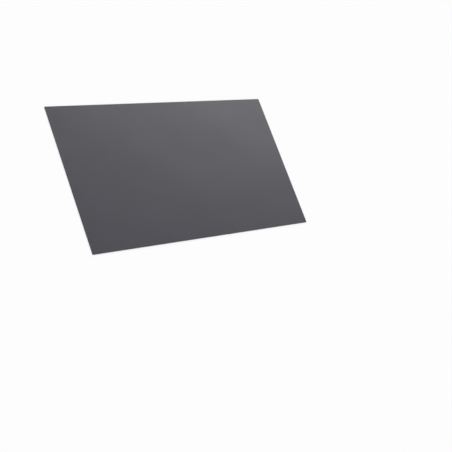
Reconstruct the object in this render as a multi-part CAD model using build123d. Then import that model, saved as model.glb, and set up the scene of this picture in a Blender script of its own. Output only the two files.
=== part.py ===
"""Privacy filter: one thin rectangular sheet of smoked louvre film, die-cut with eased corners.

Millimetres. The sheet lies face up on its back face, as it comes to rest when nothing holds it.
The origin is the centre of the back face. +X runs along the width, from the left edge to the right,
+Y runs from the bottom edge to the top, and +Z points out of the front face.
"""

from build123d import *
import os

# Driving dimensions
sheet_width = 344.0  # left edge to right edge, of the size that is sold by its 15.6 inch diagonal
sheet_height = 193.5  # bottom edge to top edge, in proportion 16 to 9
sheet_thickness = 0.5  # back face to front face: bonded cover films with the louvre film between them
corner_radius = 1.0  # the four corners of the outline, eased so that they don't scratch or catch
die_roll = 0.1  # rounding of the front edge, where the cutting blade presses into the film
largest_roll_share = 0.9  # of the thickness or the corner radius: a rounding any larger has no wall to meet


def cut_outline():
    """The outline that the die cuts: a rectangle with eased corners, lying on the back face."""
    return RectangleRounded(sheet_width, sheet_height, corner_radius)


def filter_sheet():
    """The film at full thickness. Its front edge is rolled over, and its back edge is left square."""
    sheet = extrude(cut_outline(), amount=sheet_thickness)
    front_edge = sheet.faces().sort_by(Axis.Z)[-1].outer_wire().edges()
    largest_roll = largest_roll_share * min(sheet_thickness, corner_radius)
    return fillet(front_edge, radius=min(die_roll, largest_roll))


os.makedirs("parts", exist_ok=True)
export_step(filter_sheet(), "parts/filter_sheet.step")
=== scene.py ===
"""Privacy filter: the finishes of its smoked film sheet, the stage that it lies on and the camera.

The file is laid out as an add-on and is run as a script. It works in metres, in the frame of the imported
model: +X along the sheet's width, +Y from its bottom edge to its top edge, +Z out of its matte front face.
"""

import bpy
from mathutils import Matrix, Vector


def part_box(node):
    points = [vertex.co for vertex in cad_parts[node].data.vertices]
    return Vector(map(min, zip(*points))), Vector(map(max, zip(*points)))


bl_info = {
    "name": "Privacy Filter",
    "version": (1, 0, 0),
    "blender": (4, 5, 0),
    "location": "3D View > Sidebar > Privacy Filter",
    "description": "Finishes a sheet of smoked privacy film and sets its stage and camera",
    "category": "Object",
}

from math import cos, pi, radians, sin, sqrt

import bmesh
import bpy
from bpy.props import FloatProperty, FloatVectorProperty, PointerProperty
from mathutils import Color, Quaternion, Vector

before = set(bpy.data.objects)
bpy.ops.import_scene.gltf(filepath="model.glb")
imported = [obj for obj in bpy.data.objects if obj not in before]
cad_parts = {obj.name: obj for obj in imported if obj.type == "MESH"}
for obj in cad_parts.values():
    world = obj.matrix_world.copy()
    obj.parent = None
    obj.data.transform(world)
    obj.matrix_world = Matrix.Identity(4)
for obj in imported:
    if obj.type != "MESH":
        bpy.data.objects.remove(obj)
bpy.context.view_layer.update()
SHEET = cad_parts["filter_sheet"]
SHEET_LOW, SHEET_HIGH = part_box("filter_sheet")

MM = 0.001

ACRYLIC_IOR = 1.50
POLYESTER_IOR = 1.58

# A noise texture keeps nearly all its values between these two.
NOISE_LOW, NOISE_HIGH = 0.25, 0.75
# With this detail, a noise texture has one finer layer over its main one.
ONE_FINER_LAYER = 1.0
# A wave texture repeats at this length when its scale is 1.
WAVE_PERIOD = 2.0 * pi / 20.0
# A mix node has sockets of the same names for each kind of data. These are the ones for colours.
MIX_A, MIX_B, MIX_RESULT = 6, 7, 2


def linear(hex_colour):
    """The linear RGBA of an sRGB colour that is written as six hex digits."""
    srgb = Color([int(hex_colour[i:i + 2], 16) / 255 for i in (0, 2, 4)])
    return (*srgb.from_srgb_to_scene_linear(), 1.0)


def direction(azimuth, elevation):
    """The unit vector towards a place on the sky. Azimuth 0 is -Y, and 90 degrees is +X."""
    level = cos(elevation)
    return Vector((sin(azimuth) * level, -cos(azimuth) * level, sin(elevation)))


class FilmSettings(bpy.types.PropertyGroup):
    """Finishes of the film sheet"""

    louvre_colour: FloatVectorProperty(
        name="Louvre Colour",
        description="Colour of the dark louvres, which is what the film shows where no light comes through",
        subtype="COLOR", size=4, min=0.0, max=1.0, default=linear("262534"),
    )
    transmittance: FloatProperty(
        name="Transmittance",
        description="Share of the light that passes straight through the whole sheet",
        subtype="FACTOR", min=0.0, max=1.0, default=0.14,
    )
    louvre_spacing: FloatProperty(
        name="Louvre Spacing",
        description="Distance between two louvres, as they are drawn",
        unit="LENGTH", min=0.05 * MM, default=3.0 * MM,
    )
    coat_grain: FloatProperty(
        name="Coat Grain",
        description="Size of the grains in the matte hard coat",
        unit="LENGTH", min=0.05 * MM, default=0.8 * MM,
    )
    rise_spacing: FloatProperty(
        name="Rise Spacing",
        description="Distance between the slight rises of a sheet that doesn't lie quite flat",
        unit="LENGTH", min=1.0 * MM, default=80.0 * MM,
    )
    rise_height: FloatProperty(
        name="Rise Height",
        description="Height of those rises",
        unit="LENGTH", min=0.0, default=0.6 * MM,
    )
    front_roughness: FloatProperty(
        name="Front Roughness",
        description="Roughness of the matte hard coat on the front",
        subtype="FACTOR", min=0.0, max=1.0, default=0.32,
    )
    back_roughness: FloatProperty(
        name="Back Roughness",
        description="Roughness of the smooth cover film on the back",
        subtype="FACTOR", min=0.0, max=1.0, default=0.22,
    )
    edge_colour: FloatVectorProperty(
        name="Edge Colour",
        description="Colour of the cut edge, where the louvres are seen end on",
        subtype="COLOR", size=4, min=0.0, max=1.0, default=linear("121214"),
    )
    cover_colour: FloatVectorProperty(
        name="Cover Film Colour",
        description="Colour of the two clear cover films, as they look in the cut edge",
        subtype="COLOR", size=4, min=0.0, max=1.0, default=linear("34343A"),
    )
    cover_thickness: FloatProperty(
        name="Cover Film Thickness",
        description="Thickness of each clear cover film",
        unit="LENGTH", min=0.0, default=0.1 * MM,
    )


class StageSettings(bpy.types.PropertyGroup):
    """Floor, light and camera"""

    floor_colour: FloatVectorProperty(
        name="Floor Colour",
        description="Colour of the floor and of the backdrop behind it",
        subtype="COLOR", size=4, min=0.0, max=1.0, default=linear("FDFDFD"),
    )
    floor_radius: FloatProperty(
        name="Floor Radius",
        description="How far the floor reaches from the sheet",
        unit="LENGTH", min=1.0, default=40.0,
    )
    floor_gap: FloatProperty(
        name="Floor Gap",
        description="Gap between the floor and the back of the sheet",
        unit="LENGTH", min=0.0, default=0.05 * MM,
    )
    sky_light: FloatProperty(
        name="Sky Light",
        description="Share of the light on the floor that comes evenly from all round",
        subtype="FACTOR", min=0.0, max=1.0, default=0.78,
    )
    lamp_azimuth: FloatProperty(
        name="Lamp Azimuth",
        description="Where the lamp stands, turned from -Y towards +X",
        subtype="ANGLE", default=radians(132.0),
    )
    lamp_elevation: FloatProperty(
        name="Lamp Elevation",
        description="Height of the lamp above the horizon",
        subtype="ANGLE", default=radians(28.0),
    )
    lamp_spread: FloatProperty(
        name="Lamp Spread",
        description="Width of the lamp, as an angle seen from the sheet",
        subtype="ANGLE", default=radians(40.0),
    )
    lens: FloatProperty(
        name="Focal Length",
        description="Focal length of the camera, on a sensor 36 mm wide",
        unit="CAMERA", min=1.0, default=75.0,
    )
    aim: FloatVectorProperty(
        name="Aim",
        description="Point on the floor that lies in the middle of the picture",
        subtype="TRANSLATION", size=3, default=(32.5 * MM, -85.4 * MM, 0.0),
    )
    camera_distance: FloatProperty(
        name="Camera Distance",
        description="Distance from the camera to the point that it aims at",
        unit="LENGTH", min=0.01, default=1212.4 * MM,
    )
    camera_azimuth: FloatProperty(
        name="Camera Azimuth",
        description="Where the camera stands, turned from -Y towards +X",
        subtype="ANGLE", default=radians(-68.74),
    )
    camera_elevation: FloatProperty(
        name="Camera Elevation",
        description="Height of the camera above the horizon",
        subtype="ANGLE", default=radians(47.30),
    )
    camera_roll: FloatProperty(
        name="Camera Roll",
        description="Turn of the camera about its own axis, which stands the sheet upright in the picture",
        subtype="ANGLE", default=radians(53.81),
    )


def add_node(tree, kind, settings=None, inputs=None):
    """Adds a node. Settings are its own attributes; an input is a value, or an output to link from."""
    node = tree.nodes.new(kind)
    for name, value in (settings or {}).items():
        setattr(node, name, value)
    for name, value in (inputs or {}).items():
        if isinstance(value, bpy.types.NodeSocket):
            tree.links.new(value, node.inputs[name])
        else:
            node.inputs[name].default_value = value
    return node


def new_material(name):
    """An empty node material."""
    material = bpy.data.materials.new(name)
    material.use_nodes = True
    material.node_tree.nodes.clear()
    return material


def smoked_louvre_film(name, film, roughness):
    """Louvre film: rows of black louvres with clear gaps, bonded between hard-coated polyester covers.

    The rows are too fine to see, so the eye takes them together as an even smoky grey that lets about a
    seventh of the light through. The acrylic hard coat has a soft low gloss, which wavers a little
    because so thin a sheet never lies quite flat.
    """
    material = new_material(name)
    tree = material.node_tree
    # Light crosses two faces of the sheet, so each face lets the square root through.
    face_alpha = 1.0 - sqrt(film.transmittance)
    alpha_swing = 0.01
    colour_swing = 0.2
    roughness_swing = 0.03
    grain_height = 0.003 * MM
    finer_rise_share = 0.3
    place = add_node(tree, "ShaderNodeTexCoord").outputs["Object"]

    # Real louvres stand 0.05 mm apart. They are drawn further apart, so that a close view shows them.
    louvres = add_node(
        tree, "ShaderNodeTexWave",
        inputs={"Vector": place, "Scale": WAVE_PERIOD / film.louvre_spacing, "Detail": 0.0},
    ).outputs["Fac"]
    alpha = add_node(
        tree, "ShaderNodeMapRange",
        inputs={"Value": louvres, "To Min": face_alpha + alpha_swing, "To Max": face_alpha - alpha_swing},
    )
    dark_louvre, light_louvre = (
        (*(channel * share for channel in film.louvre_colour[:3]), 1.0)
        for share in (1.0 - colour_swing, 1.0 + colour_swing)
    )
    colour = add_node(
        tree, "ShaderNodeMix", settings={"data_type": "RGBA"},
        inputs={"Factor": louvres, MIX_A: dark_louvre, MIX_B: light_louvre},
    )

    # The real coat's grains are about 0.03 mm across. They too are drawn coarser.
    grains = add_node(
        tree, "ShaderNodeTexNoise",
        inputs={"Vector": place, "Scale": 1.0 / film.coat_grain, "Detail": ONE_FINER_LAYER},
    ).outputs["Fac"]
    rough = add_node(
        tree, "ShaderNodeMapRange",
        inputs={
            "Value": grains, "From Min": NOISE_LOW, "From Max": NOISE_HIGH,
            "To Min": roughness - roughness_swing, "To Max": roughness + roughness_swing,
        },
    )
    rises = add_node(
        tree, "ShaderNodeTexNoise",
        inputs={
            "Vector": place, "Scale": 1.0 / film.rise_spacing,
            "Detail": ONE_FINER_LAYER, "Roughness": finer_rise_share,
        },
    ).outputs["Fac"]
    wavy_sheet = add_node(tree, "ShaderNodeBump", inputs={"Height": rises, "Distance": film.rise_height})
    grainy_coat = add_node(
        tree, "ShaderNodeBump",
        inputs={"Height": grains, "Distance": grain_height, "Normal": wavy_sheet.outputs["Normal"]},
    )

    surface = add_node(
        tree, "ShaderNodeBsdfPrincipled",
        inputs={
            "Base Color": colour.outputs[MIX_RESULT],
            "Roughness": rough.outputs["Result"],
            "IOR": ACRYLIC_IOR,
            "Alpha": alpha.outputs["Result"],
            "Normal": grainy_coat.outputs["Normal"],
        },
    )
    add_node(tree, "ShaderNodeOutputMaterial", inputs={"Surface": surface.outputs["BSDF"]})
    return material


def die_cut_film_edge(film):
    """Die-cut laminate edge: the louvres seen end on, between the ends of two clear cover films.

    No light comes out of the louvres that way, so the eye sees a thin, nearly black line, a little
    paler along each cover film. The blade leaves it dull, with fine upright marks.
    """
    material = new_material("die_cut_film_edge")
    tree = material.node_tree
    cut_roughness = 0.55
    # The pits of the cut trap light, so it mirrors less than a smooth face does, for which this is 0.5.
    cut_mirror_level = 0.2
    mark_spacing = 0.2 * MM
    mark_height = 0.01 * MM
    middle = (SHEET_LOW.z + SHEET_HIGH.z) / 2
    half_core = (SHEET_HIGH.z - SHEET_LOW.z) / 2 - film.cover_thickness
    place = add_node(tree, "ShaderNodeTexCoord").outputs["Object"]

    height = add_node(tree, "ShaderNodeSeparateXYZ", inputs={"Vector": place}).outputs["Z"]
    in_core = add_node(
        tree, "ShaderNodeMath", settings={"operation": "COMPARE"},
        inputs={0: height, 1: middle, 2: half_core},
    )
    colour = add_node(
        tree, "ShaderNodeMix", settings={"data_type": "RGBA"},
        inputs={"Factor": in_core.outputs["Value"], MIX_A: film.cover_colour, MIX_B: film.edge_colour},
    )

    # The marks run the full height of the cut, so they don't change along Z.
    level_place = add_node(
        tree, "ShaderNodeMapping", inputs={"Vector": place, "Scale": (1.0, 1.0, 0.0)},
    )
    marks = add_node(
        tree, "ShaderNodeTexNoise",
        inputs={"Vector": level_place.outputs["Vector"], "Scale": 1.0 / mark_spacing},
    ).outputs["Fac"]
    cut = add_node(tree, "ShaderNodeBump", inputs={"Height": marks, "Distance": mark_height})

    surface = add_node(
        tree, "ShaderNodeBsdfPrincipled",
        inputs={
            "Base Color": colour.outputs[MIX_RESULT],
            "Roughness": cut_roughness,
            "IOR": POLYESTER_IOR,
            "Specular IOR Level": cut_mirror_level,
            "Normal": cut.outputs["Normal"],
        },
    )
    add_node(tree, "ShaderNodeOutputMaterial", inputs={"Surface": surface.outputs["BSDF"]})
    return material


class PRIVACYFILTER_OT_finish_sheet(bpy.types.Operator):
    """Give the sheet its matte front, smooth back and dark cut edge"""

    bl_idname = "privacyfilter.finish_sheet"
    bl_label = "Finish Film Sheet"
    bl_options = {"REGISTER", "UNDO"}

    def execute(self, context):
        film = context.scene.privacy_film
        mesh = SHEET.data
        mesh.materials.clear()
        finishes = (
            smoked_louvre_film("matte_smoked_louvre_film", film, film.front_roughness),
            smoked_louvre_film("smooth_smoked_louvre_film", film, film.back_roughness),
            die_cut_film_edge(film),
        )
        for finish in finishes:
            mesh.materials.append(finish)
        front, back, edge = range(len(finishes))
        # A face whose normal rises or dips by less than this is part of the cut edge.
        edge_lean = 0.05
        for face in mesh.polygons:
            if face.normal.z > edge_lean:
                face.material_index = front
            elif face.normal.z < -edge_lean:
                face.material_index = back
            else:
                face.material_index = edge
        return {"FINISHED"}


def make_floor(scene, stage):
    """A round floor of pale seamless paper, just under the sheet."""
    material = new_material("seamless_paper")
    tree = material.node_tree
    surface = add_node(tree, "ShaderNodeBsdfDiffuse", inputs={"Color": stage.floor_colour})
    add_node(tree, "ShaderNodeOutputMaterial", inputs={"Surface": surface.outputs["BSDF"]})
    rim_points = 96
    mesh = bpy.data.meshes.new("floor")
    disc = bmesh.new()
    bmesh.ops.create_circle(disc, cap_ends=True, segments=rim_points, radius=stage.floor_radius)
    disc.to_mesh(mesh)
    disc.free()
    mesh.materials.append(material)
    floor = bpy.data.objects.new("floor", mesh)
    floor.location.z = SHEET_LOW.z - stage.floor_gap
    scene.collection.objects.link(floor)


def make_light(scene, stage):
    """Even light from all round and one wide soft lamp. Together they light the floor at a level of 1."""
    world = bpy.data.worlds.new("studio")
    world.use_nodes = True
    tree = world.node_tree
    tree.nodes.clear()
    # The camera, mirrored rays and rays through glass see the backdrop. All other rays gather light.
    path = add_node(tree, "ShaderNodeLightPath")
    seen = path.outputs["Is Camera Ray"]
    for kind in ("Is Glossy Ray", "Is Transmission Ray"):
        seen = add_node(
            tree, "ShaderNodeMath", settings={"operation": "MAXIMUM"},
            inputs={0: seen, 1: path.outputs[kind]},
        ).outputs["Value"]
    white = linear("FFFFFF")
    light = add_node(
        tree, "ShaderNodeBackground", inputs={"Color": white, "Strength": stage.sky_light},
    )
    # At a strength of 1 the backdrop shows its colour as it is written.
    backdrop = add_node(
        tree, "ShaderNodeBackground", inputs={"Color": stage.floor_colour, "Strength": 1.0},
    )
    sky = add_node(
        tree, "ShaderNodeMixShader",
        inputs={"Fac": seen, 1: light.outputs["Background"], 2: backdrop.outputs["Background"]},
    )
    add_node(tree, "ShaderNodeOutputWorld", inputs={"Surface": sky.outputs["Shader"]})
    scene.world = world

    lamp = bpy.data.lights.new("soft_lamp", "SUN")
    lamp.angle = stage.lamp_spread
    lamp.energy = pi * (1.0 - stage.sky_light) / sin(stage.lamp_elevation)
    stand = bpy.data.objects.new("soft_lamp", lamp)
    towards = direction(stage.lamp_azimuth, stage.lamp_elevation)
    stand.rotation_euler = (-towards).to_track_quat("-Z", "Y").to_euler()
    scene.collection.objects.link(stand)


def make_camera(scene, stage):
    """A camera that sees the sheet as the photograph does."""
    camera = bpy.data.cameras.new("camera")
    camera.lens = stage.lens
    tripod = bpy.data.objects.new("camera", camera)
    back = direction(stage.camera_azimuth, stage.camera_elevation)
    tripod.location = Vector(stage.aim) + stage.camera_distance * back
    tripod.rotation_mode = "QUATERNION"
    level = (-back).to_track_quat("-Z", "Y")
    tripod.rotation_quaternion = level @ Quaternion((0.0, 0.0, 1.0), stage.camera_roll)
    scene.collection.objects.link(tripod)
    scene.camera = tripod


class PRIVACYFILTER_OT_set_stage(bpy.types.Operator):
    """Add the pale floor, the soft light and the camera"""

    bl_idname = "privacyfilter.set_stage"
    bl_label = "Set Stage"
    bl_options = {"REGISTER", "UNDO"}

    def execute(self, context):
        scene = context.scene
        stage = scene.privacy_stage
        make_floor(scene, stage)
        make_light(scene, stage)
        make_camera(scene, stage)
        scene.view_settings.view_transform = "Standard"
        return {"FINISHED"}


class PRIVACYFILTER_PT_sidebar(bpy.types.Panel):
    """Lists the steps and their settings"""

    bl_idname = "PRIVACYFILTER_PT_sidebar"
    bl_label = "Privacy Filter"
    bl_space_type = "VIEW_3D"
    bl_region_type = "UI"
    bl_category = "Privacy Filter"

    def draw(self, context):
        scene = context.scene
        steps = (
            (PRIVACYFILTER_OT_finish_sheet, scene.privacy_film),
            (PRIVACYFILTER_OT_set_stage, scene.privacy_stage),
        )
        for operator, settings in steps:
            box = self.layout.box()
            box.operator(operator.bl_idname)
            for name in settings.__annotations__:
                box.prop(settings, name)


CLASSES = (
    FilmSettings,
    StageSettings,
    PRIVACYFILTER_OT_finish_sheet,
    PRIVACYFILTER_OT_set_stage,
    PRIVACYFILTER_PT_sidebar,
)


def register():
    for cls in CLASSES:
        bpy.utils.register_class(cls)
    bpy.types.Scene.privacy_film = PointerProperty(type=FilmSettings)
    bpy.types.Scene.privacy_stage = PointerProperty(type=StageSettings)


def unregister():
    del bpy.types.Scene.privacy_stage
    del bpy.types.Scene.privacy_film
    for cls in reversed(CLASSES):
        bpy.utils.unregister_class(cls)


def main():
    register()
    bpy.ops.privacyfilter.finish_sheet()
    bpy.ops.privacyfilter.set_stage()


if __name__ == "__main__":
    main()
